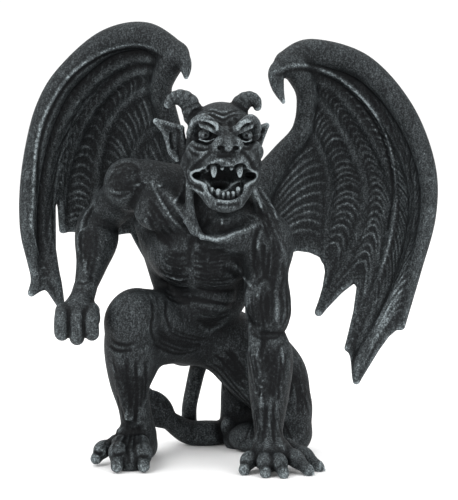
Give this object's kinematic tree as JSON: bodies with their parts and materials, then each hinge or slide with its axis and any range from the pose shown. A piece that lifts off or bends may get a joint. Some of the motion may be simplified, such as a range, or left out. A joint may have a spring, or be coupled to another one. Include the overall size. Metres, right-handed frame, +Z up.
{
  "type": "gargoyle figure",
  "caption": "Crouching winged gargoyle cast in one piece, kneeling on one knee and leaning on one hand, with raised wings, horns, an open mouth and a curled tail; stands on its own feet.",
  "frame": {"origin": "middle of the figure's box, on the ground that its foot, hand, knee and tail stand on", "axes": "+X to the figure's own left, -Y to its front, +Z up"},
  "size_m": [0.2458, 0.1234, 0.2554],
  "materials": {
    "dark_cast_stone": "cast stone finish, blue-black, with pale grey-blue dry-brushed along the raised edges and darker in the hollows, matt to satin"
  },
  "bodies": {
    "root": {"gargoyle": "dark_cast_stone"}
  },
  "joints": []
}
